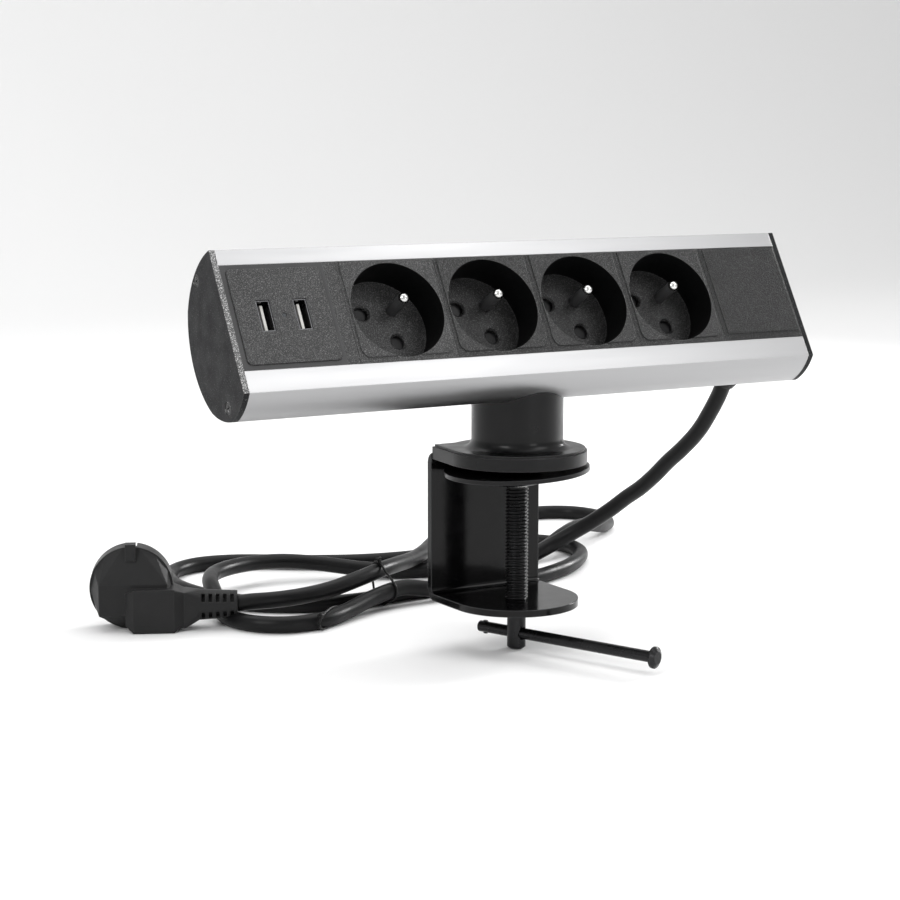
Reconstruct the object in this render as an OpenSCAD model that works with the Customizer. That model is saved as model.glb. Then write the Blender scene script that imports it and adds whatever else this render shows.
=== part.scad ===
// Desk power strip on a screw clamp: an aluminium bar with two USB ports, four earthed sockets with
// an earth pin each, and a blank cover, carried on a post over a steel clamp for a desk's edge.
// Millimetres. +X runs along the bar, -Y is the front, +Z is up. The origin lies on the clamp's
// upper jaw face, where the desk top touches it, on the axis of the post and the clamp screw.

/* [Bar] */
// Height and width of one module, and height of the opening in the bar's front
module_size = 45; // [44:0.5:46]
// Width of the plain strip between the USB module and the sockets
spacer_width = 5.5; // [3:0.5:12]
// Width of the blank cover at the right end
blank_width = 42.5; // [36:0.5:60]
// Lean of the front face, away from upright
face_tilt = 30; // [20:1:38]
// Wall thickness of the aluminium profile
profile_wall = 2; // [1.5:0.1:2.5]
// Thickness of an end cap
cap_thickness = 2.5; // [2:0.1:4]

/* [Sockets] */
// Diameter of a socket's round recess
recess_diameter = 41.4; // [40:0.1:42]
// Depth of a socket's recess
recess_depth = 16.5; // [15:0.1:18]
// Diameter of the earth pin
earth_pin_diameter = 4.8; // [4.6:0.1:5]
// Distance between the two contact holes
contact_pitch = 19; // [18.5:0.1:19.5]
// Turn of the socket's pattern, counter-clockwise as seen from the front
pattern_turn = 45; // [30:5:60]

/* [Clamp] */
// Diameter of the post
post_diameter = 39; // [34:1:42]
// Height of the flange over the jaw face
flange_height = 6.6; // [6:0.1:9]
// Width of the steel bracket
bracket_width = 55; // [50:1:58]
// Sheet thickness of the bracket
bracket_sheet = 3; // [2.5:0.1:4]
// Opening between the upper jaw and the lower arm
throat_height = 58.7; // [56:0.1:66]
// Distance from the screw's axis to the spine of the bracket
throat_depth = 25.4; // [24:0.1:28]
// Outer diameter of the clamp screw's thread
thread_diameter = 9.8; // [9.8:0.1:10]
// Diameter of the pressure disc
disc_diameter = 62; // [50:1:62]
// Rest tilt of the pressure disc on its ball
disc_tilt = 3; // [0:0.5:3]
// Diameter of the tommy bar
tommy_diameter = 4.8; // [4:0.1:5]

/* [Cord] */
// Outer diameter of the cord
cord_diameter = 7.5; // [6:0.5:8.5]

/* [Hidden] */
$fn = 64;
SOCKETS = [1, 2, 3, 4];

gap = 0.1; // play between pieces that are fixed to each other
eps = 0.01;

// ---- bar: places along X and across the section ----
socket_count = len(SOCKETS);
bar_length = module_size + spacer_width + socket_count * module_size + blank_width;
bar_end = bar_length / 2;
usb_x = -bar_end + module_size / 2;
spacer_x = -bar_end + module_size + spacer_width / 2;
blank_x = bar_end - blank_width / 2;
function socket_x(i) = -bar_end + module_size + spacer_width + (i - 0.5) * module_size;
module_middle = module_size / 2;

// Lower front edge of the opening, from the origin
opening_y = -21.2;
opening_z = 48.6;

// The section is drawn as [depth behind the face, height up the face]
arc_height = 18;
top_arc = [5, 34];        // depth of the centre, radius
back_arc = [-1.3, 39];
lower_arc = [15.1, 25];
lower_arc_height = 10.8;
lower_arc_end = 17.2;     // depth at which the lower front arc meets the others
cap_screw_places = [[17, 46.9], [16.5, -8.1]];
port_diameter = 5.4;      // ribs in the profile that take the cap screws

// ---- socket: depths behind the face ----
plate_proud = 0.6;
floor_back = recess_depth + 2;
shutter_front = floor_back + 0.3;
shutter_thickness = 1.4;
pivot_diameter = 3.9;
housing_plate = [20.8, 22.5];
tower_back = 29.4;
busbar_front = 29.7;
busbar_sheet = 0.8;
busbar_end = blank_x - 17;
earth_bar_front = 24;
contact_r = contact_pitch / 2;
contact_hole = 6;
earth_offset = 10;

// ---- clamp: heights ----
jaw_wall = 2.2;
disc_back = throat_depth - 0.8; // flat rear edge of the disc, which keeps it from turning
washer = [-9.9, -9.3];          // lower and upper face of the washer under the swivel cup
ball_z = -6.4;
ball_r = 3.2;
disc_top = -2.3;
disc_sheet = 1.8;
cup_bottom = -8.6;
thread_top = -10.2;
thread_end = -throat_height - bracket_sheet - 0.4;
shank_diameter = 8;
screw_tip = -81;
tommy_z = -74;
tommy_turn = -69.5;       // direction of the tommy bar's headed end
tommy_back = -19.5;       // places along the bar from the screw's axis
tommy_front = 69;

// ---- cord: hand-set route of the free lead, from the gland to the hank ----
surface_z = screw_tip;
gland_x = 126;
gland_place = [35.3, 5.1];
lead_route = [
    [126, 20, 26], [127, 26, 18], [127.5, 34, 8], [127.5, 42, -1], [126.5, 52, -10],
    [125, 62, -18], [123.5, 71, -26], [122, 80, -33], [120, 89, -39], [117, 98, -46],
    [112.5, 107, -53], [106, 115, -59.5], [97, 120, -65.5]
];
hank_height = 20;
left_lobe = [[-54, 110], [-46, 184], 35];   // centres and radius of a round-ended lobe
waist = [[0, 122], [60, 136], 32];
right_lobe = [[98, 144], [162, 216], 40];
tie_places = [[-4, 108, 28], [-30, 91, 35]];

// ---- plug ----
plug_place = [-128, 118.7];
plug_turn = -24.5;
plug_disc = 37;
plug_z = surface_z + plug_disc / 2;
neck_z = surface_z + 10.8;
neck_start = 29;          // strain relief, from the handle's end
neck_end = 47;
pin_pitch = 19;
pin_diameter = 4.8;
pin_length = 16.6;        // straight part in front of the disc
disc_front = 11;
insert_back = 4.1;

// ================= helpers =================

// Puts children into the frame of the leaning front face: X along the bar, Y depth, Z up the face
module on_face() {
    translate([0, opening_y, opening_z]) rotate([-face_tilt, 0, 0]) children();
}

// Extrudes a section, drawn as [depth, height], along the bar
module along_bar(from, to) {
    translate([from, 0, 0]) rotate([90, 0, 90]) linear_extrude(to - from) children();
}

// Extrudes a front view, drawn as [along, up], between two depths
module slab(near, far) {
    translate([0, far, 0]) rotate([90, 0, 0]) linear_extrude(far - near) children();
}

// Moves children to the middle of socket number i
module at_socket(i) {
    on_face() translate([socket_x(i), 0, module_middle]) children();
}

// The bar's outer section, drawn in by inset
module section(inset = 0) {
    difference() {
        intersection() {
            translate([top_arc[0], arc_height]) circle(r = top_arc[1] - inset);
            translate([back_arc[0], arc_height]) circle(r = back_arc[1] - inset);
            translate([inset, -50]) square([60, 120]);
        }
        difference() {
            translate([-5, -30]) square([5 + lower_arc_end, 25]);
            translate([lower_arc[0], lower_arc_height]) circle(r = lower_arc[1] - inset);
        }
    }
}

module centred(w, h) { translate([-w / 2, -h / 2]) square([w, h]); }

module rounded(w, h, r) {
    centred(w - 2 * r, h);
    centred(w, h - 2 * r);
    for (x = [-1, 1], y = [-1, 1]) translate([x * (w / 2 - r), y * (h / 2 - r)]) circle(r = r);
}

// Places of the two contact holes, with the socket's pattern turned
module at_contacts() {
    for (side = [90, -90])
        rotate(pattern_turn + side) translate([contact_r, 0]) children();
}

module at_earth() { rotate(pattern_turn) translate([earth_offset, 0]) children(); }

// ================= bar =================

module housing_profile() {
    color("silver") difference() {
        on_face() difference() {
            union() {
                difference() {
                    along_bar(-bar_end, bar_end) section();
                    along_bar(-bar_end - 1, bar_end + 1) section(profile_wall);
                }
                along_bar(-bar_end, bar_end) intersection() {
                    section(profile_wall / 2);
                    union() {
                        for (p = cap_screw_places) translate(p) circle(d = port_diameter);
                        translate([cap_screw_places[1][0] - 1, -14]) square([2, 6]);
                        for (h = [module_size + 1, -2.5]) translate([1, h]) square([11, 1.5]);
                    }
                }
            }
            translate([-bar_end - 1, -1, 0])
                cube([bar_length + 2, profile_wall + 1 + eps, module_size]);
            for (p = cap_screw_places)
                along_bar(-bar_end - 1, bar_end + 1) translate(p) circle(d = 3);
            gland_hole(d = 13);
        }
        for (x = mounting_places) translate([x, 0, 20]) cylinder(d = 5.4, h = 16);
    }
}

module gland_hole(d) {
    gland_axis() translate([0, 0, -8]) cylinder(d = d, h = 16);
}

// Axis of the cord's exit: on the back of the section, square to its surface
module gland_axis() {
    out = gland_place - [back_arc[0], arc_height];
    translate([gland_x, gland_place[0], gland_place[1]])
        rotate([-atan2(out[0], out[1]), 0, 0]) children();
}

// One end cap for the end at +X, with a locating rim that enters the profile
module cap() {
    difference() {
        union() {
            along_bar(bar_end, bar_end + cap_thickness) section();
            along_bar(bar_end - 4, bar_end + eps) difference() {
                section(profile_wall + gap);
                section(profile_wall + 1.6);
                square([40, 120], center = true);
                for (p = cap_screw_places) translate(p) circle(d = port_diameter + 0.6);
            }
        }
        for (p = cap_screw_places) {
            along_bar(bar_end - 5, bar_end + 10) translate(p) circle(d = 3.3);
            along_bar(bar_end + cap_thickness - 1.1, bar_end + 10) translate(p) circle(d = 5.3);
        }
    }
}

module end_cap_left() { color("#1a1a1b") mirror([1, 0, 0]) on_face() cap(); }
module end_cap_right() { color("#1a1a1b") on_face() cap(); }

module end_cap_screws() {
    color("#222224") for (side = [0, 1]) mirror([side, 0, 0]) on_face() for (p = cap_screw_places)
        translate([bar_end, p[0], p[1]]) rotate([0, 90, 0]) difference() {
            union() {
                translate([0, 0, cap_thickness - 1.1]) cylinder(d = 5, h = 0.9);
                translate([0, 0, -9]) cylinder(d = 2.9, h = 9 + cap_thickness - 0.5);
            }
            for (a = [0, 90]) rotate(a) translate([-1.6, -0.35, cap_thickness - 0.8])
                cube([3.2, 0.7, 2]);
            translate([0, 0, cap_thickness - 0.2]) cylinder(d = 8, h = 2);
        }
}

// ================= USB module =================

usb_plate_size = 40.6;
usb_ports = [-8, 8];
usb_shell = [5.7, 13.1];

module usb_openings(extra = 0) {
    for (x = usb_ports) translate([x, 0]) centred(usb_shell[0] + extra, usb_shell[1] + extra);
}

module usb_frame() {
    color("#2b2b2d") on_face() translate([usb_x, 0, module_middle]) {
        slab(0, 1.6) difference() {
            centred(module_size - gap, module_size - gap);
            rounded(usb_plate_size + 2 * gap, usb_plate_size + 2 * gap, 2);
        }
        slab(1.6, 3) difference() {
            centred(module_size - gap, module_size - gap);
            usb_openings(0.3);
            circle(d = 3.2);
        }
        slab(3, 17) difference() {
            centred(42, 37);
            centred(39, 34);
        }
    }
}

module usb_plate() {
    color("#171718") on_face() translate([usb_x, 0, module_middle]) slab(-plate_proud, 1.6)
        difference() {
            rounded(usb_plate_size, usb_plate_size, 2);
            usb_openings(0.3);
            circle(d = 2);
        }
}

module usb_shells() {
    color("#b9babd") on_face() translate([usb_x, 0, module_middle]) {
        slab(-0.2, 13.6) difference() {
            usb_openings();
            usb_openings(-0.7);
        }
        slab(13.2, 13.6) usb_openings(-0.7);
    }
}

module usb_tongues() {
    color("#e6e6e4") on_face() translate([usb_x, 0, module_middle]) slab(2.2, 13.2)
        for (x = usb_ports) translate([x + 0.2, 0]) centred(1.2, 11.2);
}

module usb_board() {
    color("#1f5a35") on_face() translate([usb_x, 0, module_middle]) {
        slab(13.6, 15.2) centred(38, 33);
        translate([0, 0, -4]) slab(15.2, 24) centred(16, 15);
        translate([-12, 0, 2]) slab(15.2, 22) circle(d = 7);
        translate([12, 0, 2]) slab(15.2, 22) circle(d = 7);
    }
}

module usb_light_guide() {
    color("#dfe8ee") on_face() translate([usb_x, 0, module_middle]) {
        slab(-0.3, 13.6) circle(d = 1.8);
        slab(10, 13.6) circle(d = 3);
    }
}

module spacer_strip() {
    color("#1b1b1c") on_face() translate([spacer_x, 0, module_middle]) {
        slab(0, 2) centred(spacer_width - gap, module_size - gap);
        slab(2, 8) centred(1.2, 40);
    }
}

module blank_cover() {
    color("#161617") on_face() translate([blank_x, 0, module_middle]) {
        slab(0, 2) centred(blank_width - gap, module_size - gap);
        slab(-0.3, 0) translate([0.7, 1.2]) centred(blank_width - 3, module_size - 4);
        slab(2, 8) difference() {
            centred(blank_width - 3, 41);
            centred(blank_width - 6, 38);
        }
    }
}

// ================= sockets =================

// Front plate outline: its lower corners are rounded
module socket_plate_outline() {
    w = module_size - 3;
    translate([0, 1]) intersection() {
        rounded(w, w, 4);
        centred(w, w);
    }
    translate([0, 8]) centred(w, w - 14);
}

module socket_body(i) {
    color("#1c1c1d") at_socket(i) difference() {
        union() {
            slab(0, 2) centred(module_size - gap, module_size - gap);
            slab(-plate_proud, 0) socket_plate_outline();
            slab(2, floor_back) circle(d = recess_diameter + 1.8);
        }
        slab(-2, recess_depth) circle(d = recess_diameter);
        slab(recess_depth - 1, floor_back + 1) {
            at_contacts() circle(d = contact_hole);
            at_earth() circle(d = earth_pin_diameter + 0.2);
        }
        for (side = [90, -90]) rotate([0, -(pattern_turn + side), 0])
            translate([contact_r, recess_depth, 0]) rotate([90, 0, 0])
                translate([0, 0, -0.8]) cylinder(d1 = contact_hole, d2 = contact_hole + 1.8, h = 0.9);
    }
}

module rear_housing(i) {
    color("#8d8d88") at_socket(i) {
        slab(floor_back, housing_plate[0]) difference() {
            circle(d = 38);
            circle(d = 33);
            at_earth() circle(d = 6.4);
        }
        difference() {
            union() {
                slab(housing_plate[0], housing_plate[1]) circle(d = 38);
                slab(housing_plate[1], tower_back) at_contacts() circle(d = 9.4);
            }
            slab(housing_plate[0] - 1, tower_back + 1) at_contacts() circle(d = 7);
            slab(housing_plate[0] - 1, housing_plate[1] + 1) at_earth() circle(d = 6.4);
            slab(housing_plate[0] - 1, housing_plate[0] + 1.1) difference() {
                circle(d = 8.8);
                circle(d = 6);
            }
        }
        slab(shutter_front - 0.2, housing_plate[0]) circle(d = pivot_diameter);
    }
}

module earth_pin(i) {
    tip = earth_pin_diameter / 2;
    color("gainsboro") at_socket(i) rotate([0, -pattern_turn, 0]) translate([earth_offset, 0, 0]) {
        slab(2.4 + tip, earth_bar_front + busbar_sheet) circle(d = earth_pin_diameter);
        translate([0, 2.4 + tip, 0]) sphere(r = tip);
        slab(floor_back, floor_back + 0.6) circle(d = earth_pin_diameter + 1.2);
    }
}

// Safety shutter: a rotor with two blades that close the contact holes
module shutter(i) {
    blade = 22;
    color("#5c5c5e") at_socket(i) slab(shutter_front, shutter_front + shutter_thickness)
        difference() {
            union() {
                circle(d = 9);
                intersection() {
                    difference() {
                        circle(d = 27);
                        circle(d = 8);
                    }
                    for (side = [90, -90]) rotate(pattern_turn + side)
                        polygon([[0, 0], [20, -20 * tan(blade)], [20, 20 * tan(blade)]]);
                }
            }
            circle(d = pivot_diameter + 0.15);
        }
}

module shutter_spring(i) {
    color("silver") at_socket(i)
        slab(housing_plate[0] + 0.15, housing_plate[0] + 0.95) difference() {
            circle(d = 8.4);
            circle(d = 6.4);
        }
}

// ================= wiring inside the bar =================

// A strip behind the sockets with a sleeve contact for each of them, at one side of the pattern
module contact_busbar(side) {
    height = module_middle + contact_r * sin(pattern_turn + side);
    on_face() {
        translate([socket_x(1) - 12, busbar_front, height - 3])
            cube([busbar_end - socket_x(1) + 12, busbar_sheet, 6]);
        for (i = SOCKETS) translate([socket_x(i) + contact_r * cos(pattern_turn + side), 0, height])
            slab(housing_plate[1] + 0.2, busbar_front) difference() {
                circle(d = 6.6);
                circle(d = 4.9);
            }
    }
}

module live_busbar() { color("#b87333") contact_busbar(-90); }
module neutral_busbar() { color("#c98a4b") contact_busbar(90); }

module earth_busbar() {
    pin = [earth_offset * cos(pattern_turn), module_middle + earth_offset * sin(pattern_turn)];
    color("#c9a227") on_face() difference() {
        union() {
            translate([socket_x(1) - 4, earth_bar_front, 36])
                cube([busbar_end - socket_x(1) + 4, busbar_sheet, 4]);
            for (i = SOCKETS) translate([socket_x(i) + pin[0] - 4, earth_bar_front, pin[1] - 4])
                cube([8, busbar_sheet, 40 - pin[1]]);
        }
        for (i = SOCKETS) translate([socket_x(i) + pin[0], 0, pin[1]])
            slab(earth_bar_front - 1, earth_bar_front + 2) circle(d = earth_pin_diameter + gap);
    }
}

terminal_size = [14, 9, 30];
terminal_place = [blank_x - 7, 9.5, 10];
terminal_heights = [5, 15, 25];

module terminal_block() {
    color("#d8d3c4") on_face() translate(terminal_place) difference() {
        cube(terminal_size);
        for (h = terminal_heights) {
            translate([-1, terminal_size[1] / 2, h]) rotate([0, 90, 0]) cylinder(d = 4, h = 20);
            translate([terminal_size[0] / 2, terminal_size[1] / 2, h]) rotate([90, 0, 0])
                cylinder(d = 4, h = 8);
        }
    }
}

module terminal_screws() {
    color("goldenrod") on_face() translate(terminal_place) for (h = terminal_heights)
        translate([terminal_size[0] / 2, 2.1, h]) rotate([90, 0, 0]) difference() {
            cylinder(d = 3.8, h = 1.8);
            translate([-2, -0.3, 1]) cube([4, 0.6, 2]);
        }
}

// Wires from the strips' ends to the terminal block, and the cord's own cores on its other side
module inner_wires() {
    low = module_middle - contact_r * sin(pattern_turn);
    high = module_middle + contact_r * sin(pattern_turn);
    starts = [[busbar_front - 1.5, low], [busbar_front - 1.5, high], [earth_bar_front + 2.7, 38]];
    depth = terminal_place[1] + terminal_size[1] / 2;
    left = terminal_place[0];
    right = left + terminal_size[0];
    color("saddlebrown") on_face() for (k = [0 : 2]) {
        height = terminal_place[2] + terminal_heights[k];
        tube([
            [busbar_end - 5, starts[k][0], starts[k][1]], [busbar_end, starts[k][0], starts[k][1]],
            [busbar_end + 4, (starts[k][0] + depth) / 2, (starts[k][1] + height) / 2],
            [left - 2, depth, height], [left + 3, depth, height]
        ], 2.6, 8, [0, 1, 0]);
        tube([
            [right - 3, depth, height], [right + 2, depth, height],
            [right + 5, depth + 3, height - 4 - 3 * k], [gland_x + (k - 1) * 2.7, 21, 13 + k % 2],
            [gland_x + (k - 1) * 2.7, 28, 8.5]
        ], 2.4, 8, [0, 1, 0]);
    }
}

// Rubber grommet with a tapered sleeve, where the cord leaves the bar
module cord_gland() {
    color("#151515") on_face() gland_axis() rotate_extrude() polygon([
        [cord_diameter / 2 + 0.05, -6], [6.3, -6], [6.3, 0.1], [9, 0.4], [9, 2.4], [7.2, 3.4],
        [cord_diameter / 2 + 1.2, 14], [cord_diameter / 2 + 0.05, 14]
    ]);
}

// ================= post and clamp =================

mounting_places = [-10, 10];

// Block inside the profile that the mounting screws pull against
module anchor_block() {
    color("#9a9ca0") difference() {
        intersection() {
            translate([-16, -7.5, 24]) cube([32, 19.5, 12]);
            on_face() along_bar(-20, 20) section(profile_wall + gap);
        }
        for (x = mounting_places) translate([x, 0, 20]) cylinder(d = 5 + gap, h = 20);
    }
}

module mounting_screws() {
    color("#3a3b3d") for (x = mounting_places) translate([x, 0, 0]) difference() {
        union() {
            cylinder(d1 = 10, d2 = 5, h = 2.5);
            cylinder(d = 5, h = 35);
        }
        translate([0, 0, -eps]) cylinder(d = 3.4, h = 1.8, $fn = 6);
    }
}

flange_r = 29.7;
flange_half = 27.2;
flange_back = throat_depth - 0.5;

// D-shaped outline: a round front, and straight sides to two square rear corners
module flange_outline(inset = 0) {
    r = flange_r - inset;
    corner = [flange_half - inset, flange_back - inset];
    a = atan2(corner[1], corner[0]) - acos(r / norm(corner));
    circle(r = r);
    polygon([[-corner[0], corner[1]], [-r * cos(a), r * sin(a)], [r * cos(a), r * sin(a)], corner]);
}

module post() {
    r = post_diameter / 2;
    fillet = 4;
    color("#1d1d1e") difference() {
        union() {
            translate([0, 0, 0.2]) linear_extrude(flange_height - 1.2) flange_outline();
            translate([0, 0, flange_height - 1 - eps]) linear_extrude(1) flange_outline(0.8);
            cylinder(r = r, h = 46);
            translate([0, 0, flange_height]) rotate_extrude() difference() {
                square([r + fillet, fillet]);
                translate([r + fillet, fillet]) circle(r = fillet);
            }
        }
        // saddle for the bar
        on_face() along_bar(-40, 40) section(-gap);
        // pocket for the bracket's upper arm, and a hollow over it
        translate([0, 0, -1]) linear_extrude(bracket_sheet + 1.1) flange_outline(jaw_wall);
        translate([-flange_half + jaw_wall, 10, -1])
            cube([2 * (flange_half - jaw_wall), 30, bracket_sheet + 1.1]);
        difference() {
            translate([0, 0, bracket_sheet]) cylinder(r = 15.5, h = 17);
            for (x = mounting_places) translate([x, 0, 0]) cylinder(d = 12, h = 40);
        }
        for (x = mounting_places) translate([x, 0, -1]) cylinder(d = 5.3, h = 50);
    }
}

// Side view of the bent sheet, drawn as [depth, height]
module bracket_profile() {
    outer = bracket_sheet + 2;
    back = throat_depth + bracket_sheet;
    difference() {
        union() {
            translate([-40, -throat_height - bracket_sheet])
                square([40 + back - outer, throat_height + 2 * bracket_sheet]);
            translate([0, outer - throat_height - bracket_sheet])
                square([back, throat_height + 2 * bracket_sheet - 2 * outer]);
            for (z = [bracket_sheet - outer, outer - throat_height - bracket_sheet])
                translate([back - outer, z]) circle(r = outer);
        }
        translate([-50, -throat_height]) square([50 + throat_depth - 2, throat_height]);
        translate([-50, 2 - throat_height]) square([50 + throat_depth, throat_height - 4]);
        for (z = [-2, 2 - throat_height]) translate([throat_depth - 2, z]) circle(r = 2);
    }
}

module bracket() {
    half = bracket_width / 2;
    color("#0f0f10") difference() {
        intersection() {
            rotate([90, 0, 90]) translate([0, 0, -half]) linear_extrude(bracket_width)
                bracket_profile();
            union() {
                // plan of the lower arm and the spine
                translate([0, 0, -throat_height - 10]) linear_extrude(throat_height + 5) {
                    translate([0, 2]) circle(r = half);
                    translate([-half, 2]) square([bracket_width, 40]);
                }
                // plan of the upper arm, narrow enough for the flange's pocket
                translate([0, 0, -6]) linear_extrude(20) {
                    intersection() {
                        flange_outline(jaw_wall + 0.3);
                        translate([-24.5, -40]) square([49, 80]);
                    }
                    translate([-24.5, 10]) square([49, 20]);
                    translate([-half, throat_depth - 0.3]) square([bracket_width, 10]);
                }
            }
        }
        translate([0, 0, -throat_height - 5]) cylinder(d = thread_diameter + 0.16, h = 8);
        for (x = mounting_places) translate([x, 0, 0]) {
            translate([0, 0, -1]) cylinder(d = 5.4, h = 10);
            translate([0, 0, -eps]) cylinder(d1 = 10.4, d2 = 5.4, h = 2.5);
        }
    }
}

module clamp_screw() {
    color("#262628") difference() {
        union() {
            translate([0, 0, ball_z]) sphere(r = ball_r);
            translate([0, 0, thread_top - eps]) cylinder(d = 4.6, h = ball_z - thread_top);
            translate([0, 0, thread_end]) cylinder(d = thread_diameter, h = thread_top - thread_end);
            translate([0, 0, screw_tip]) cylinder(d = shank_diameter, h = thread_end - screw_tip + eps);
        }
        translate([0, 0, tommy_z]) rotate([0, 90, tommy_turn]) translate([0, 0, -10])
            cylinder(d = tommy_diameter + 0.3, h = 20);
    }
}

// Puts children into the tilted frame of the pressure disc
module on_ball() { translate([0, 0, ball_z]) rotate([0, -disc_tilt, 0]) children(); }

module pressure_disc() {
    color("#1a1a1b") on_ball() translate([0, 0, disc_top - disc_sheet - ball_z]) difference() {
        cylinder(d = disc_diameter, h = disc_sheet);
        translate([-40, disc_back, -1]) cube([80, 40, 5]);
        translate([0, 0, -1]) cylinder(d = 9, h = 5);
    }
}

module swivel_cup() {
    bottom = cup_bottom - ball_z;
    top = disc_top - disc_sheet - ball_z;
    color("#202022") on_ball() difference() {
        translate([0, 0, bottom]) cylinder(r1 = 11, r2 = 20.5, h = top - bottom);
        sphere(r = ball_r + 0.3);
        cylinder(r = ball_r + 0.3, h = 10);
        translate([0, 0, bottom - 1]) cylinder(d = 6, h = 4);
    }
}

module screw_washer() {
    color("#c9c9c6") translate([0, 0, washer[0]]) difference() {
        cylinder(d = 11, h = washer[1] - washer[0]);
        translate([0, 0, -1]) cylinder(d = 5.2, h = 3);
    }
}

module tommy_bar() {
    r = tommy_diameter / 2;
    color("#2e2e30") translate([0, 0, tommy_z]) rotate([0, 90, tommy_turn]) {
        translate([0, 0, tommy_back]) cylinder(r = r, h = tommy_front - tommy_back);
        translate([0, 0, tommy_front - eps]) cylinder(r1 = r, r2 = 4.6, h = 1.6);
        translate([0, 0, tommy_front + 1.5]) cylinder(r = 4.6, h = 0.8);
        translate([0, 0, tommy_front + 2.2]) cylinder(r1 = 4.6, r2 = 2.6, h = 1.4);
        for (a = [0, 180]) rotate(a) translate([r - 0.3, -0.6, tommy_back + 2]) cube([0.8, 1.2, 1.6]);
    }
}

// ================= cord and plug =================

function unit(v) = v / norm(v);

// Ring of points round point k of a route, square to it. The route never runs along across
function ring(route, k, r, sides, across) =
    let (
        last = len(route) - 1,
        ahead = unit(route[min(k + 1, last)] - route[max(k - 1, 0)]),
        side = unit(cross(ahead, across)),
        up = cross(side, ahead)
    )
    [for (s = [0 : sides - 1]) route[k] + r * (cos(s * 360 / sides) * side + sin(s * 360 / sides) * up)];

module tube(route, d, sides = 10, across = [1, 0, 0]) {
    rings = len(route);
    points = [for (k = [0 : rings - 1]) each ring(route, k, d / 2, sides, across)];
    walls = [
        for (k = [0 : rings - 2], s = [0 : sides - 1])
            let (a = k * sides + s, b = k * sides + (s + 1) % sides)
            [a, a + sides, b + sides, b]
    ];
    polyhedron(points, concat(
        [[for (s = [0 : sides - 1]) s]], walls,
        [[for (s = [sides - 1 : -1 : 0]) (rings - 1) * sides + s]]
    ));
}

module cord_lead() { color("#1b1b1c") tube(lead_route, cord_diameter); }

module lobe(l) {
    hull() for (c = [l[0], l[1]]) translate(c) circle(r = l[2], $fn = 40);
}

// Outer shape of the folded and tied cord, lying on the surface, with room for the plug
module cord_hank() {
    color("#232324") translate([0, 0, surface_z]) linear_extrude(hank_height) difference() {
        union() {
            lobe(left_lobe);
            lobe(waist);
            lobe(right_lobe);
        }
        translate(plug_place) rotate(plug_turn) translate([-40, -20]) square([neck_end + 40, 52]);
    }
}

module cord_ties() {
    color("#121212") for (t = tie_places)
        translate([t[0], t[1], surface_z + hank_height + 0.2]) rotate(t[2])
            translate([-0.7, -12, 0]) cube([1.4, 24, 1]);
}

module at_plug() { translate([plug_place[0], plug_place[1], 0]) rotate(plug_turn) children(); }

module plug_body() {
    color("#2a2a2c") at_plug() difference() {
        union() {
            // disc that carries the pins
            translate([0, 0, plug_z]) rotate([-90, 0, 0]) cylinder(d = plug_disc, h = disc_front);
            // grip: its back slopes from a ridge up to the disc's rim
            hull() {
                translate([0, 0, plug_z]) rotate([-90, 0, 0]) cylinder(d = plug_disc - 1, h = 1, $fn = 14);
                translate([-14, -8.5, plug_z - 11]) cube([30, 2, 14]);
            }
            // handle along the cord, with cut corners
            hull() {
                translate([1, -12.5, surface_z + 0.3]) cube([18, 16, 19.3]);
                translate([-2.5, -9, surface_z + 3]) cube([26, 12.5, 14.5]);
            }
            hull() {
                translate([22, -9, surface_z + 1.5]) cube([2, 13, 16]);
                translate([neck_start, -2.5, neck_z]) rotate([0, 90, 0]) cylinder(d = 14, h = 1, $fn = 24);
            }
            translate([neck_start, -2.5, neck_z]) rotate([0, 90, 0])
                cylinder(d1 = 14, d2 = 12, h = neck_end - neck_start);
            // key on the back of the rim
            translate([-2.3, -3.6, plug_z + plug_disc / 2 - 6]) cube([4.6, 6.1, 7.6]);
        }
        // grooves of the earth clips, at the top and bottom of the disc
        for (side = [0, 180]) translate([0, 0, plug_z]) rotate([0, side, 0])
            translate([-2.7, 3, clip_place]) cube([5.4, 20, 6]);
        // slots of the strain relief
        for (k = [0 : 4], side = [-1, 1]) translate([neck_start + 2 + 3.2 * k, -2.5, neck_z])
            rotate([side * 38, 0, 0]) translate([0, -9, -2]) cube([1.6, 5, 4]);
        // seat of the insert
        translate([0, insert_back - gap, plug_z]) rotate([-90, 0, 0]) cylinder(d = 31, h = 10);
        translate([neck_end - 6, -2.5, neck_z]) rotate([0, 90, 0]) cylinder(d = cord_diameter, h = 7);
    }
}

module plug_insert() {
    color("#303032") at_plug() translate([0, insert_back, plug_z]) rotate([-90, 0, 0]) difference() {
        cylinder(d = 30.8, h = disc_front - insert_back);
        for (x = [-1, 1]) translate([x * pin_pitch / 2, 0, -1]) cylinder(d = pin_diameter, h = 10);
        translate([0, 10, -1]) cylinder(d = 5.4, h = 10);
    }
}

module plug_pins() {
    root = disc_front - insert_back;
    color("silver") at_plug() for (x = [-1, 1])
        translate([x * pin_pitch / 2, insert_back, plug_z]) rotate([-90, 0, 0]) {
            cylinder(d = pin_diameter - 0.2, h = root + eps, $fn = 6);
            translate([0, 0, root]) cylinder(d = pin_diameter, h = pin_length);
            translate([0, 0, root + pin_length]) sphere(d = pin_diameter);
        }
}

clip_place = 16.2;        // radius of the grooves that hold the earth clips

module plug_earth_clips() {
    color("gainsboro") at_plug() translate([0, 0, plug_z]) for (side = [0, 180])
        rotate([0, side, 0]) translate([-2.3, 3.2, clip_place + 0.1]) cube([4.6, 7.6, 0.8]);
}

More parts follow.
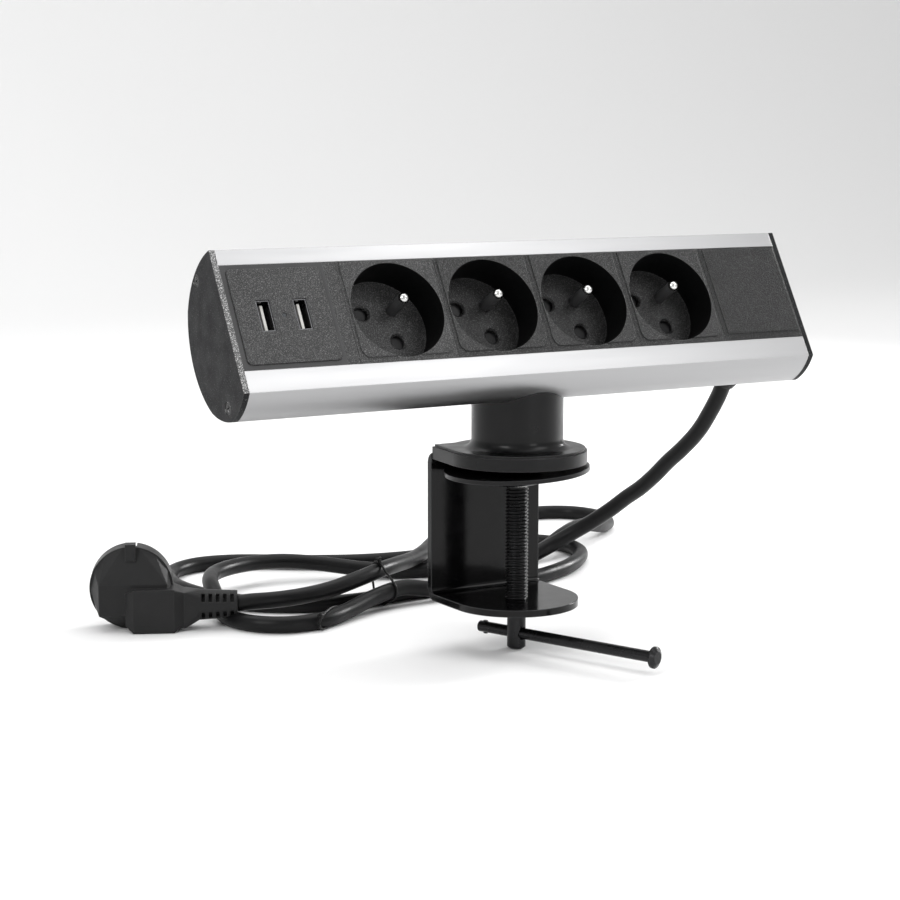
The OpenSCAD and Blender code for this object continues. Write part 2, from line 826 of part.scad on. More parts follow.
housing_profile();
end_cap_left();
end_cap_right();
end_cap_screws();
usb_frame();
usb_plate();
usb_shells();
usb_tongues();
usb_board();
usb_light_guide();
spacer_strip();
blank_cover();
socket_body(1);  // socket_body_1
socket_body(2);  // socket_body_2
socket_body(3);  // socket_body_3
socket_body(4);  // socket_body_4
rear_housing(1);  // rear_housing_1
rear_housing(2);  // rear_housing_2
rear_housing(3);  // rear_housing_3
rear_housing(4);  // rear_housing_4
earth_pin(1);  // earth_pin_1
earth_pin(2);  // earth_pin_2
earth_pin(3);  // earth_pin_3
earth_pin(4);  // earth_pin_4
shutter(1);  // shutter_1
shutter(2);  // shutter_2
shutter(3);  // shutter_3
shutter(4);  // shutter_4
shutter_spring(1);  // shutter_spring_1
shutter_spring(2);  // shutter_spring_2
shutter_spring(3);  // shutter_spring_3
shutter_spring(4);  // shutter_spring_4
live_busbar();
neutral_busbar();
earth_busbar();
terminal_block();
terminal_screws();
inner_wires();
cord_gland();
anchor_block();
mounting_screws();
post();
bracket();
clamp_screw();
screw_washer();
pressure_disc();
swivel_cup();
tommy_bar();
cord_lead();
cord_hank();
cord_ties();
plug_body();
plug_insert();
plug_pins();
plug_earth_clips();
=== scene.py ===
import math
import bpy
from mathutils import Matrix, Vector


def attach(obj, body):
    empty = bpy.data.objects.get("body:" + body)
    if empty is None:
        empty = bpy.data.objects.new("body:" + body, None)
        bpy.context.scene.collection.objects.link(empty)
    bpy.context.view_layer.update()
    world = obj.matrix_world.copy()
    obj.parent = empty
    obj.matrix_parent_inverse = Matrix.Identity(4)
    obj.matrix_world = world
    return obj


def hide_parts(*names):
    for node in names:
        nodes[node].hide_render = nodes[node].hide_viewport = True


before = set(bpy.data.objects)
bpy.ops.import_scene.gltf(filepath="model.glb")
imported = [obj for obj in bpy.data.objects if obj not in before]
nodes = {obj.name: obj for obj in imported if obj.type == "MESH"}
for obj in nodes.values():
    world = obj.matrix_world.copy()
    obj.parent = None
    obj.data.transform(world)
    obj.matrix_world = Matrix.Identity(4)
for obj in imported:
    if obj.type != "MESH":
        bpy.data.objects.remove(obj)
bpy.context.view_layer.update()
FLOOR = -0.081          # the surface that the clamp screw's tip and the cord stand on


# ================= camera =================

CAMERA_PLACE = (-0.48179, -0.75931, 0.13996)
CAMERA_TURN = (81.47, 0, -30.58)        # degrees
CAMERA_LENS = 85.73                     # millimetres, as is the sensor's width
CAMERA_SENSOR = 36

camera = bpy.data.objects.new("camera", bpy.data.cameras.new("camera"))
camera.data.lens = CAMERA_LENS
camera.data.sensor_width = CAMERA_SENSOR
camera.location = CAMERA_PLACE
camera.rotation_euler = [math.radians(angle) for angle in CAMERA_TURN]
bpy.context.scene.collection.objects.link(camera)
bpy.context.scene.camera = camera
bpy.context.scene.view_settings.view_transform = "Standard"


# ================= making pieces =================

FIRST_SIDE = (0.31, 0.17, 0.93)     # where a tube's first ring starts, before it is squared up


def add_piece(name, data, slot, body, *replaced):
    """Links a new piece, which rides on a body and may replace CAD nodes."""
    piece = bpy.data.objects.new(name, data)
    bpy.context.scene.collection.objects.link(piece)
    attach(piece, body)
    if replaced:
        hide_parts(*replaced)
    return piece


def tube_rings(points, diameter, sides):
    """Rings of points round a line, turned as little as possible from one to the next."""
    points = [Vector(p) for p in points]
    side = Vector(FIRST_SIDE)
    rings = []
    for k, point in enumerate(points):
        before = points[k - 1] if k else point
        after = points[k + 1] if k < len(points) - 1 else point
        ahead = (after - before).normalized()
        side = (side - ahead * side.dot(ahead)).normalized()
        up = ahead.cross(side)
        rings.append([point + diameter / 2 * (side * math.cos(s * math.tau / sides)
                                              + up * math.sin(s * math.tau / sides))
                      for s in range(sides)])
    return rings


def smooth_line(points, steps):
    """A centripetal Catmull-Rom line through the points."""
    points = [Vector(p) for p in points]
    ends = [2 * points[0] - points[1]] + points + [2 * points[-1] - points[-2]]
    line = []
    for a, b, c, d in zip(ends, ends[1:], ends[2:], ends[3:]):
        t1 = (b - a).length ** 0.5
        t2 = t1 + (c - b).length ** 0.5
        t3 = t2 + (d - c).length ** 0.5
        for k in range(steps):
            t = t1 + (t2 - t1) * k / steps
            ab = a.lerp(b, t / t1)
            bc = b.lerp(c, (t - t1) / (t2 - t1))
            cd = c.lerp(d, (t - t2) / (t3 - t2))
            early = ab.lerp(bc, t / t2)
            late = bc.lerp(cd, (t - t1) / (t3 - t1))
            line.append(early.lerp(late, (t - t1) / (t2 - t1)))
    return line + [points[-1]]


def mesh_of(name, *skins):
    """A smooth mesh of one or more skins, each over rings of points, with caps at both ends."""
    points, faces = [], []
    for rings in skins:
        count, first = len(rings[0]), len(points)
        points += [p for ring in rings for p in ring]
        for k in range(len(rings) - 1):
            for s in range(count):
                a, b = first + k * count + s, first + k * count + (s + 1) % count
                faces.append((a, b, b + count, a + count))
        faces.append(tuple(range(first + count - 1, first - 1, -1)))
        faces.append(tuple(range(len(points) - count, len(points))))
    data = bpy.data.meshes.new(name)
    data.from_pydata(points, [], faces)
    data.shade_smooth()
    return data


# ================= mains cord =================

CORD_DIAMETER = 0.0075
CORD_SIDES = 24
LINE_STEPS = 7                          # from one point of the route to the next

# the route from the gland to the plug, in metres
ROUTE = [
    # gland, and the lead down behind the bracket
    (0.126, 0.012, 0.0353), (0.126, 0.02, 0.026), (0.127, 0.026, 0.018), (0.1275, 0.034, 0.008),
    (0.1275, 0.042, -0.001), (0.1265, 0.052, -0.01), (0.125, 0.062, -0.018),
    (0.1235, 0.071, -0.026), (0.122, 0.08, -0.033), (0.12, 0.089, -0.039), (0.117, 0.098, -0.046),
    (0.1125, 0.107, -0.053), (0.106, 0.115, -0.0595), (0.097, 0.12, -0.0655),
    (0.085, 0.121, -0.0705), (0.071, 0.118, -0.0745), (0.056, 0.114, -0.077),
    (0.038, 0.11, -0.0772), (0.019, 0.1075, -0.0772),
    # low in the ties, then the far loop on the left
    (-0.001, 0.1055, -0.0772), (-0.02, 0.102, -0.0772), (-0.038, 0.104, -0.0772),
    (-0.054, 0.111, -0.0772), (-0.068, 0.123, -0.0772), (-0.076, 0.139, -0.0772),
    (-0.081, 0.157, -0.0772), (-0.082, 0.176, -0.0772), (-0.078, 0.193, -0.0772),
    (-0.069, 0.208, -0.0772), (-0.053, 0.217, -0.0772), (-0.035, 0.215, -0.0772),
    (-0.019, 0.206, -0.0772), (-0.003, 0.195, -0.0772), (0.016, 0.185, -0.0772),
    (0.037, 0.179, -0.0772),
    # small loop on the right
    (0.059, 0.178, -0.0772), (0.079, 0.182, -0.0772), (0.097, 0.1875, -0.0772),
    (0.114, 0.189, -0.0772), (0.129, 0.181, -0.0772), (0.1355, 0.165, -0.0772),
    (0.132, 0.147, -0.0772), (0.121, 0.132, -0.0772), (0.106, 0.119, -0.0772),
    (0.088, 0.109, -0.0772), (0.069, 0.102, -0.0772), (0.05, 0.099, -0.0772),
    (0.032, 0.0985, -0.0772), (0.015, 0.098, -0.075),
    # middle of the ties, then the near loop on the left
    (-0.001, 0.0975, -0.0725), (-0.019, 0.0925, -0.074), (-0.037, 0.084, -0.0765),
    (-0.054, 0.0755, -0.0772), (-0.07, 0.0745, -0.0772), (-0.082, 0.082, -0.0772),
    (-0.088, 0.095, -0.0772), (-0.088, 0.109, -0.0768), (-0.085, 0.121, -0.0737),
    (-0.082, 0.134, -0.07), (-0.077, 0.147, -0.0692), (-0.069, 0.159, -0.0693),
    (-0.057, 0.168, -0.0695), (-0.042, 0.174, -0.07), (-0.025, 0.175, -0.071),
    (-0.008, 0.17, -0.073), (0.009, 0.16, -0.0755), (0.028, 0.151, -0.0772),
    (0.049, 0.146, -0.0772),
    # long loop on the right
    (0.071, 0.145, -0.0772), (0.093, 0.147, -0.0772), (0.112, 0.152, -0.075),
    (0.129, 0.16, -0.0705), (0.145, 0.171, -0.0696), (0.162, 0.183, -0.0715),
    (0.179, 0.195, -0.0755), (0.193, 0.21, -0.0772), (0.198, 0.228, -0.0772),
    (0.192, 0.245, -0.0772), (0.176, 0.254, -0.0772), (0.157, 0.251, -0.0772),
    (0.139, 0.241, -0.0772), (0.121, 0.229, -0.077), (0.103, 0.215, -0.0755),
    (0.086, 0.2, -0.0715), (0.07, 0.184, -0.0695), (0.056, 0.169, -0.0694),
    # over the ties to the plug
    (0.041, 0.152, -0.0693), (0.025, 0.1355, -0.0683), (0.008, 0.119, -0.066),
    (-0.008, 0.107, -0.065), (-0.024, 0.1, -0.0665), (-0.04, 0.0955, -0.0685),
    (-0.056, 0.0922, -0.0692), (-0.07, 0.0915, -0.0693), (-0.0815, 0.0947, -0.0696),
    (-0.0863, 0.0969, -0.0702),
]

cord_line = smooth_line(ROUTE, LINE_STEPS)
cord_data = mesh_of("mains_cord", tube_rings(cord_line, CORD_DIAMETER, CORD_SIDES))
cord = add_piece("mains_cord", cord_data, "cord_jacket", "root", "cord_lead", "cord_hank")


# ================= wire ties round the cord =================

TIE_WIRE = 0.0011
TIE_SIDES = 10
AROUND = 24             # points round each strand that a tie may touch
KNOT_FORWARD = 0.4      # weight of forward against height in choosing a knot's place
TWIST_STEPS = 24
TWIST_PITCH = 8         # steps for each turn of the twisted ends
TWIST_SIDES = 8
SPLAY_FROM = 20         # the step at which the ends start to spread
SPLAY = 0.25
END_WIRE = 0.9          # thickness of the twisted ends, as a share of the wire


def outline(points):
    """Convex outline of flat points, counter-clockwise."""
    points = sorted(set(points))

    def half(order):
        edge = []
        for p in order:
            while len(edge) > 1 and ((edge[-1][0] - edge[-2][0]) * (p[1] - edge[-2][1])
                                     <= (edge[-1][1] - edge[-2][1]) * (p[0] - edge[-2][0])):
                edge.pop()
            edge.append(p)
        return edge[:-1]

    return half(points) + half(points[::-1])


def tie_points(middle, turn, reach):
    """A tight loop round the cords that pass near a point, in an upright plane across them."""
    middle = Vector(middle)
    along = Vector((math.cos(turn), math.sin(turn), 0))
    across = Vector((-along.y, along.x, 0))
    flat = []
    for a, b in zip(cord_line, cord_line[1:]):
        start, end = (a - middle).dot(along), (b - middle).dot(along)
        if start * end > 0 or start == end:
            continue
        cut = a.lerp(b, start / (start - end))
        if abs((cut - middle).dot(across)) > reach:
            continue
        r = (CORD_DIAMETER + TIE_WIRE) / 2
        lean = abs((b - a).normalized().dot(along))
        for k in range(AROUND):
            angle = k * math.tau / AROUND
            side = (cut - middle).dot(across) + r / lean * math.cos(angle)
            height = max(cut.z + r * math.sin(angle), FLOOR + TIE_WIRE / 2)
            flat.append((round(side, 5), round(height, 5)))
    return [middle + across * side + Vector((0, 0, height - middle.z)) for side, height in outline(flat)]


def add_tie(name, middle, turn, reach, tail, replaced=()):
    """One tie: the loop, and its two ends twisted together where it closes."""
    loop = tie_points(middle, turn, reach)
    knot = max(loop, key=lambda p: p.z - KNOT_FORWARD * p.y)
    tail = Vector(tail)
    aside = tail.cross(Vector((0.3, 0.9, 0.1))).normalized()
    upward = tail.cross(aside).normalized()
    skins = [tube_rings(loop + loop[:1], TIE_WIRE, TIE_SIDES)]
    for half_turn in (0, math.pi):
        twist = []
        for k in range(TWIST_STEPS + 1):
            angle = half_turn + k * math.tau / TWIST_PITCH
            swing = TIE_WIRE / 2 * (1 + max(0, k - SPLAY_FROM) * SPLAY)
            around = aside * math.cos(angle) + upward * math.sin(angle)
            twist.append(knot + tail * (k / TWIST_STEPS) + swing * around)
        skins.append(tube_rings(twist, TIE_WIRE * END_WIRE, TWIST_SIDES))
    return add_piece(name, mesh_of(name, *skins), "tie_wire", "root", *replaced)


tie_right = add_tie("cord_tie_right", middle=(-0.010, 0.106, -0.07), turn=math.radians(10), reach=0.03,
                    tail=(-0.0012, 0.0, 0.0028), replaced=["cord_ties"])
tie_left = add_tie("cord_tie_left", middle=(-0.040, 0.086, -0.07), turn=math.radians(-48), reach=0.015,
                   tail=(-0.002, -0.001, 0.0006))


# ================= clamp screw with its thread =================

PITCH = 0.0015
THREAD_TOP = -0.0102
THREAD_END = -0.0621
THREAD_RADIUS = 0.0049
THREAD_DEPTH = 0.00092
SHANK_RADIUS = 0.004
BALL_Z = -0.0064
BALL_RADIUS = 0.0032
TOMMY_Z = -0.074
TOMMY_TURN = math.radians(-69.5)
HOLE_RADIUS = 0.00255
HOLE_SIDES = 32
HOLE_REACH = 0.006      # of the cutter, to each side of the axis
TIP_RADIUS = 0.0026
TIP_ROUND = (-0.0802, 0.0037)       # height and radius part way up the rounded tip
SHANK_LOW = -0.0799
SHANK_STEP = 0.0011
SHANK_RINGS = 15
RUNOUT = 0.0004         # between the plain shank and the thread
RUNIN = 0.0001          # between the thread and the neck
FADE_TOP = 0.0008       # the thread deepens over these heights
FADE_END = 0.0012
CREST_SHARE = 0.14      # of the pitch, flat at the crest and at the root
NECK_RADIUS = 0.0023
BALL_RINGS = 12
BALL_POLE = 0.0002      # radius of the small flat on top of the ball
SCREW_SIDES = 60
RINGS_A_PITCH = 10


def thread_radius(z, angle):
    """Radius of a 60 degree thread with flat crests, which fades out at both ends."""
    phase = (z / PITCH - angle / math.tau) % 1
    depth = min(1, max(0, (abs(phase - 0.5) * 2 - CREST_SHARE) / (1 - 2 * CREST_SHARE)))
    fade = min(1, (THREAD_TOP - z) / FADE_TOP, (z - THREAD_END) / FADE_END)
    return THREAD_RADIUS - THREAD_DEPTH * (1 - (1 - depth) * max(0, fade))


def screw_ring(z, radius_at):
    """A level ring round the screw's axis, where radius_at gives the radius at an angle."""
    ring = []
    for s in range(SCREW_SIDES):
        angle = s * math.tau / SCREW_SIDES
        r = radius_at(angle)
        ring.append((r * math.cos(angle), r * math.sin(angle), z))
    return ring


def screw_rings():
    """Rings of the whole screw from the tip upwards: shank, thread, neck and ball."""
    shank = [(FLOOR, TIP_RADIUS), TIP_ROUND, (SHANK_LOW, SHANK_RADIUS)]
    shank += [(SHANK_LOW + k * SHANK_STEP, SHANK_RADIUS) for k in range(1, SHANK_RINGS + 1)]
    shank += [(THREAD_END - RUNOUT, SHANK_RADIUS)]
    rings = [screw_ring(z, lambda angle: r) for z, r in shank]

    steps = round((THREAD_TOP - THREAD_END) / PITCH * RINGS_A_PITCH)
    for k in range(steps + 1):
        z = THREAD_END + (THREAD_TOP - THREAD_END) * k / steps
        rings.append(screw_ring(z, lambda angle: thread_radius(z, angle)))

    neck_angle = math.asin(NECK_RADIUS / BALL_RADIUS)
    top = [(THREAD_TOP + RUNIN, NECK_RADIUS)]
    for k in range(BALL_RINGS + 1):
        polar = (math.pi - neck_angle) * (1 - k / BALL_RINGS)
        top.append((BALL_Z + BALL_RADIUS * math.cos(polar), max(BALL_RADIUS * math.sin(polar), BALL_POLE)))
    rings += [screw_ring(z, lambda angle: r) for z, r in top]
    return rings


def cut_with(piece_data, cutter_data):
    """The mesh of a piece with a cutter taken out of it."""
    body = bpy.data.objects.new("cut_body", piece_data)
    cutter = bpy.data.objects.new("cutter", cutter_data)
    for thing in (body, cutter):
        bpy.context.scene.collection.objects.link(thing)
    change = body.modifiers.new("hole", "BOOLEAN")
    change.object = cutter
    change.solver = "EXACT"
    result = bpy.data.meshes.new_from_object(body.evaluated_get(bpy.context.evaluated_depsgraph_get()))
    for thing in (body, cutter):
        bpy.data.objects.remove(thing)
    return result


def cross_hole():
    """A round bar through the screw where the tommy bar goes."""
    along = Vector((math.cos(TOMMY_TURN), math.sin(TOMMY_TURN), 0))
    across = Vector((-along.y, along.x, 0))
    rings = []
    for place in (-HOLE_REACH, HOLE_REACH):
        middle = along * place + Vector((0, 0, TOMMY_Z))
        rings.append([middle + HOLE_RADIUS * (across * math.cos(k * math.tau / HOLE_SIDES)
                                              + Vector((0, 0, math.sin(k * math.tau / HOLE_SIDES))))
                      for k in range(HOLE_SIDES)])
    return mesh_of("cross_hole", rings)


screw_data = cut_with(mesh_of("clamp_screw_turned", screw_rings()), cross_hole())
add_piece("clamp_screw_threaded", screw_data, "blackened_steel", "clamp_screw", "clamp_screw")


# ================= materials =================

CLOUD_SCALE = 45            # patches of tone, to the metre
GLOSS_SCALE = 130
NOISE_SPAN = (0.3, 0.7)     # the noise lies mostly between these
COAT_ROUGHNESS = 0.12
BEVEL_SAMPLES = 4
WORN_TURN = (0.985, 0.86)   # cosine of the turn at a sound edge, and at a worn one
WORN_MOST = 0.8
PAINTED_GLINT_SPAN = 0.06         # of the noise, from no painted glint to a full one


def new_material(name):
    """A new material with its shader."""
    material = bpy.data.materials.new(name)
    material.use_nodes = True
    return material


def finish(name, colour, roughness, metallic=0.0, grain=900, bump=0.00003, mottle=0.06,
           stretch=(1, 1, 1), painted_glint=None, painted_glint_scale=1500, painted_glint_amount=0.62, coat=0.0,
           edge=None, edge_width=0.0004, specular=0.16, tone=0.12):
    """A procedural finish: fine grain in the normal, mottled gloss and tone, worn, softened edges, and
    painted glints.
    """
    material = new_material(name)
    tree = material.node_tree
    shader = tree.nodes["Principled BSDF"]
    link = tree.links.new
    shader.inputs["Metallic"].default_value = metallic
    shader.inputs["Specular IOR Level"].default_value = specular
    shader.inputs["Coat Weight"].default_value = coat
    shader.inputs["Coat Roughness"].default_value = COAT_ROUGHNESS

    where = tree.nodes.new("ShaderNodeTexCoord")
    place = tree.nodes.new("ShaderNodeMapping")
    place.inputs["Scale"].default_value = stretch
    link(where.outputs["Object"], place.inputs["Vector"])

    def noise(scale, detail):
        texture = tree.nodes.new("ShaderNodeTexNoise")
        texture.inputs["Scale"].default_value = scale
        texture.inputs["Detail"].default_value = detail
        link(place.outputs["Vector"], texture.inputs["Vector"])
        return texture.outputs["Fac"]

    def remap(value, low, high, to_low, to_high):
        scale = tree.nodes.new("ShaderNodeMapRange")
        limits = {"From Min": low, "From Max": high, "To Min": to_low, "To Max": to_high}
        for socket, number in limits.items():
            scale.inputs[socket].default_value = number
        link(value, scale.inputs["Value"])
        return scale.outputs["Result"]

    def mixed(factor, first, second):
        blend = tree.nodes.new("ShaderNodeMix")
        blend.data_type = "RGBA"
        link(factor, blend.inputs["Factor"])
        for socket, value in ((blend.inputs[6], first), (blend.inputs[7], second)):
            if isinstance(value, tuple):
                socket.default_value = (*value, 1)
            else:
                link(value, socket)
        return blend.outputs[2]

    # tone varies softly over the surface
    cloud = noise(CLOUD_SCALE, 4)
    darker = tuple(c * (1 - tone) for c in colour)
    lighter = tuple(c * (1 + tone) for c in colour)
    shown = mixed(remap(cloud, *NOISE_SPAN, 0, 1), darker, lighter)
    gloss = remap(noise(GLOSS_SCALE, 5), *NOISE_SPAN, roughness - mottle, roughness + mottle)

    # softened edges, paler or darker where they are worn
    rounding = tree.nodes.new("ShaderNodeBevel")
    rounding.samples = BEVEL_SAMPLES
    rounding.inputs["Radius"].default_value = edge_width
    if edge:
        surface = tree.nodes.new("ShaderNodeNewGeometry")
        match = tree.nodes.new("ShaderNodeVectorMath")
        match.operation = "DOT_PRODUCT"
        link(rounding.outputs["Normal"], match.inputs[0])
        link(surface.outputs["Normal"], match.inputs[1])
        worn = remap(match.outputs["Value"], *WORN_TURN, 0, WORN_MOST)
        shown = mixed(worn, shown, edge)

    # painted glints: bright flecks of colour that stand in for grains catching the light
    if painted_glint:
        painted_glints = remap(noise(painted_glint_scale, 1), painted_glint_amount, painted_glint_amount + PAINTED_GLINT_SPAN, 0, 1)
        shown = mixed(painted_glints, shown, painted_glint)

    relief = tree.nodes.new("ShaderNodeBump")
    relief.inputs["Distance"].default_value = bump
    link(noise(grain, 3), relief.inputs["Height"])
    link(rounding.outputs["Normal"], relief.inputs["Normal"])
    link(relief.outputs["Normal"], shader.inputs["Normal"])
    link(shown, shader.inputs["Base Color"])
    link(gloss, shader.inputs["Roughness"])
    return material


def spark_texture(name, grey, painted_glint_grey):
    """Spark-eroded plastic: coarse grain, with painted glints for its sparkle."""
    return finish(name, (grey, grey, grey * 1.02), 0.4, grain=1900, bump=0.00022, mottle=0.08,
                  painted_glint=(painted_glint_grey, painted_glint_grey, painted_glint_grey), painted_glint_scale=3000, painted_glint_amount=0.56,
                  edge=(grey * 2.2, grey * 2.2, grey * 2.2), edge_width=0.0005, specular=0.35)


materials = {
    "satin_aluminium": finish("satin_aluminium", (0.39, 0.39, 0.395), 0.32, metallic=1.0, grain=500,
                              bump=0.000012, stretch=(0.06, 1, 1), mottle=0.05, tone=0.04,
                              edge=(0.6, 0.6, 0.6)),
    # the end caps' speckle is painted glints: bright flecks that stand in for light caught by the grain
    "cap_black": finish("cap_black", (0.008, 0.008, 0.009), 0.5, grain=1600, bump=0.00008, mottle=0.08,
                        painted_glint=(0.09, 0.09, 0.09), painted_glint_scale=1900, painted_glint_amount=0.66,
                        edge=(0.1, 0.1, 0.1), edge_width=0.0005),
    # the left cap's front rim: a lighter copy of the cap plastic with bright flecks, all painted highlight
    "cap_rim_painted_highlight": finish("cap_rim_painted_highlight", (0.1, 0.1, 0.1), 0.36, grain=1900, bump=0.00015, mottle=0.1,
                      painted_glint=(0.5, 0.5, 0.5), painted_glint_scale=2400, painted_glint_amount=0.54),
    # recess walls: painted shade, far darker than the socket plastic around them
    "recess_painted_shade": finish("recess_painted_shade", (0.0025, 0.0025, 0.0026), 0.5, grain=1500, bump=0.00006,
                           specular=0.08),
    "pin_grey": finish("pin_grey", (0.05, 0.05, 0.051), 0.4, grain=1400, bump=0.00003, specular=0.3),
    "module_grey": spark_texture("module_grey", 0.024, 0.13),
    # the next finish is the same module plastic made darker: painted shade on the sockets further right
    "module_painted_shade": spark_texture("module_painted_shade", 0.01, 0.09),
    "cover_dark": spark_texture("cover_dark", 0.003, 0.045),
    "frame_grey": finish("frame_grey", (0.055, 0.055, 0.056), 0.38, grain=1400, bump=0.00004, mottle=0.06,
                         edge=(0.2, 0.2, 0.2)),
    "black_screws": finish("black_screws", (0.03, 0.03, 0.03), 0.32, metallic=0.6, edge=(0.3, 0.3, 0.3)),
    "port_steel": finish("port_steel", (0.1, 0.1, 0.105), 0.25, metallic=1.0, grain=700, bump=0.00001,
                         edge=(0.12, 0.12, 0.12), edge_width=0.0002),
    "bright_steel": finish("bright_steel", (0.72, 0.72, 0.71), 0.2, metallic=1.0, grain=700, bump=0.00001,
                           edge=(0.9, 0.9, 0.9)),
    "white_plastic": finish("white_plastic", (0.75, 0.74, 0.7), 0.35, edge=(0.85, 0.85, 0.83)),
    "clear_guide": finish("clear_guide", (0.05, 0.055, 0.06), 0.12),
    "shutter_grey": finish("shutter_grey", (0.012, 0.012, 0.0125), 0.36, edge=(0.05, 0.05, 0.05)),
    "cream_plastic": finish("cream_plastic", (0.62, 0.58, 0.48), 0.45, edge=(0.75, 0.72, 0.62)),
    "brass": finish("brass", (0.75, 0.55, 0.25), 0.28, metallic=1.0, edge=(0.9, 0.72, 0.4)),
    "circuit_board": finish("circuit_board", (0.02, 0.13, 0.06), 0.35, edge=(0.1, 0.3, 0.16)),
    "wire_jacket": finish("wire_jacket", (0.18, 0.07, 0.03), 0.4),
    "cast_aluminium": finish("cast_aluminium", (0.5, 0.5, 0.51), 0.5, metallic=1.0, grain=600,
                             bump=0.00008),
    "post_black": finish("post_black", (0.003, 0.003, 0.0033), 0.32, grain=1100, bump=0.00002,
                         mottle=0.05, coat=0.15, edge=(0.05, 0.05, 0.052), edge_width=0.0006),
    "bracket_black": finish("bracket_black", (0.002, 0.002, 0.0022), 0.16, grain=260, bump=0.00003,
                            mottle=0.04, coat=0.12, edge=(0.06, 0.06, 0.062), edge_width=0.0009),
    "screw_black": finish("screw_black", (0.03, 0.03, 0.031), 0.3, metallic=0.85, grain=1300,
                          bump=0.00002, mottle=0.09, edge=(0.08, 0.08, 0.08), edge_width=0.0002),
    "rubber": finish("rubber", (0.02, 0.02, 0.02), 0.6, grain=1200, bump=0.00004),
    "jacket_black": finish("jacket_black", (0.006, 0.006, 0.0063), 0.36, grain=700, bump=0.00003,
                           mottle=0.07, tone=0.2),
    "tie_black": finish("tie_black", (0.01, 0.01, 0.01), 0.35, grain=1500, bump=0.00002),
    "plug_grey": finish("plug_grey", (0.016, 0.016, 0.0163), 0.44, grain=1300, bump=0.00005, mottle=0.07,
                        edge=(0.035, 0.035, 0.035), edge_width=0.0009),
}

FINISHES = {
    "satin_aluminium": ["housing_profile"],
    "cap_black": ["end_cap_left", "end_cap_right"],
    "black_screws": ["end_cap_screws", "mounting_screws"],
    "frame_grey": ["usb_frame"],
    "module_grey": ["usb_plate", "spacer_strip", "socket_body_1"],
    # sockets 2 to 4 take the darker copy of the module plastic, as painted shade
    "module_painted_shade": ["socket_body_2", "socket_body_3", "socket_body_4"],
    "cover_dark": ["blank_cover"],
    "port_steel": ["usb_shells"],
    "pin_grey": [f"earth_pin_{k}" for k in range(1, 5)],
    "bright_steel": ["plug_pins", "plug_earth_clips", "screw_washer"]
                    + [f"shutter_spring_{k}" for k in range(1, 5)],
    "white_plastic": ["usb_tongues"],
    "circuit_board": ["usb_board"],
    "clear_guide": ["usb_light_guide"],
    "shutter_grey": [f"shutter_{k}" for k in range(1, 5)],
    "cream_plastic": ["terminal_block"] + [f"rear_housing_{k}" for k in range(1, 5)],
    "brass": ["live_busbar", "neutral_busbar", "earth_busbar", "terminal_screws"],
    "wire_jacket": ["inner_wires"],
    "cast_aluminium": ["anchor_block"],
    "post_black": ["post", "swivel_cup", "pressure_disc"],
    "bracket_black": ["bracket"],
    "screw_black": ["tommy_bar", "clamp_screw_threaded"],
    "rubber": ["cord_gland"],
    "jacket_black": ["mains_cord"],
    "tie_black": ["cord_tie_right", "cord_tie_left"],
    "plug_grey": ["plug_body", "plug_insert"],
}

FACE_LEAN = math.radians(30)
FACE_OUT = Vector((0, -math.cos(FACE_LEAN), math.sin(FACE_LEAN)))
FACE_LEVEL = 0.04266        # of the leaning face along FACE_OUT
PIN_TIP_DEPTH = 0.0066      # below the face, as are the next two
RECESS_TOP = 0.0002
RECESS_FLOOR = 0.0162
WALL_TURN = 0.3             # a recess wall faces FACE_OUT by less than this
RIM_TURN = 0.95             # and the cap's rim, which gets a painted highlight, by more than this


def paint_part(piece, finish_name, chosen):
    """Gives a second finish to the faces of a piece that chosen picks."""
    piece.data.materials.append(materials[finish_name])
    for face in piece.data.polygons:
        if chosen(face):
            face.material_index = 1


for finish_name, members in FINISHES.items():
    for member in members:
        data = bpy.data.objects[member].data
        data.materials.clear()
        data.materials.append(materials[finish_name])

for k in range(1, 5):
    paint_part(nodes[f"earth_pin_{k}"], "bright_steel",
               lambda face: face.center.dot(FACE_OUT) > FACE_LEVEL - PIN_TIP_DEPTH)
    # the recess walls of each socket get painted shade
    paint_part(nodes[f"socket_body_{k}"], "recess_painted_shade",
               lambda face: abs(face.normal.dot(FACE_OUT)) < WALL_TURN
               and RECESS_TOP < FACE_LEVEL - face.center.dot(FACE_OUT) < RECESS_FLOOR)
# only the left cap's front rim gets the painted highlight; the right cap stays plain
paint_part(nodes["end_cap_left"], "cap_rim_painted_highlight", lambda face: face.normal.dot(FACE_OUT) > RIM_TURN)


# ================= floor and studio light =================

SWEEP_HALF_WIDTH = 5
SWEEP_FRONT = -4
SWEEP_BACK = 1.6            # where the floor starts to curve up
SWEEP_TOP = 4
BEND_RADIUS = 1
BEND_STEPS = 12
PAPER = (0.86, 0.86, 0.86, 1)
PAPER_ROUGHNESS = 0.9
WHITE = (1, 1, 1, 1)
WORLD_STRENGTH = 0.62

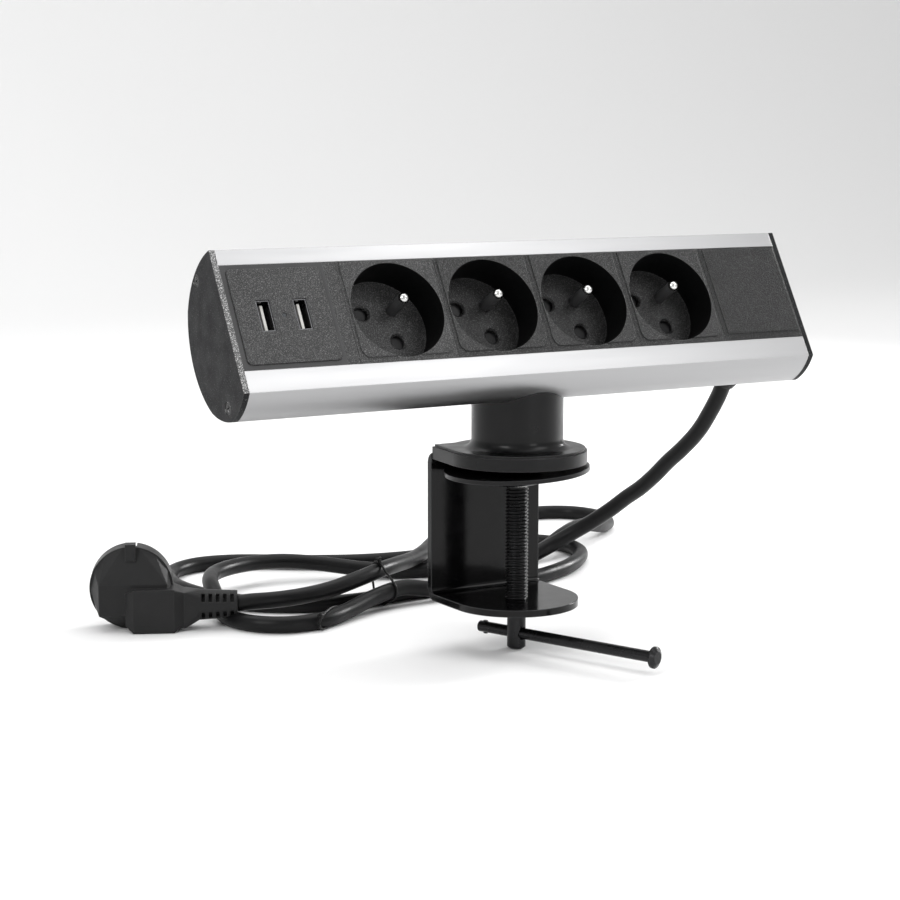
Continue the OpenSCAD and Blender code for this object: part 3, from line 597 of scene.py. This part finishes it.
SOFTBOXES = {               # place and size in metres, power in watts
    "softbox_left": ((-1.3, -0.5, 0.9), 0.7, 9),
    "softbox_top": ((0.2, 0.5, 2.2), 2.6, 34),
    "softbox_right": ((0.75, -1.0, 1.2), 0.8, 5.5),
    "softbox_rim": ((1.1, 0.25, 0.35), 0.3, 9),
    "softbox_front": ((0.2, -1.5, 0.25), 0.4, 2),
}


def add_sweep():
    """Pale floor that curves up into the backdrop."""
    profile = [(SWEEP_FRONT, 0), (SWEEP_BACK, 0)]
    for k in range(1, BEND_STEPS + 1):
        angle = k * math.pi / 2 / BEND_STEPS
        profile.append((SWEEP_BACK + BEND_RADIUS * math.sin(angle), BEND_RADIUS * (1 - math.cos(angle))))
    profile.append((SWEEP_BACK + BEND_RADIUS, SWEEP_TOP))
    verts = [(x, y, FLOOR + z) for y, z in profile for x in (-SWEEP_HALF_WIDTH, SWEEP_HALF_WIDTH)]
    faces = [(2 * k, 2 * k + 1, 2 * k + 3, 2 * k + 2) for k in range(len(profile) - 1)]
    data = bpy.data.meshes.new("floor_sweep")
    data.from_pydata(verts, [], faces)
    data.shade_smooth()
    sweep = bpy.data.objects.new("floor_sweep", data)
    bpy.context.scene.collection.objects.link(sweep)
    paper = new_material("paper")
    shader = paper.node_tree.nodes["Principled BSDF"]
    shader.inputs["Base Color"].default_value = PAPER
    shader.inputs["Roughness"].default_value = PAPER_ROUGHNESS
    data.materials.append(paper)
    return sweep


def add_light(name, place, size, power):
    """A square softbox that faces the origin."""
    data = bpy.data.lights.new(name, "AREA")
    data.size = size
    data.energy = power
    light = bpy.data.objects.new(name, data)
    light.location = place
    light.rotation_euler = (-Vector(place)).to_track_quat("-Z", "Y").to_euler()
    bpy.context.scene.collection.objects.link(light)


add_sweep()
for name, (place, size, power) in SOFTBOXES.items():
    add_light(name, place, size, power)

world = bpy.data.worlds.new("studio")
bpy.context.scene.world = world
world.use_nodes = True
sky = world.node_tree.nodes["Background"]
sky.inputs["Color"].default_value = WHITE
sky.inputs["Strength"].default_value = WORLD_STRENGTH
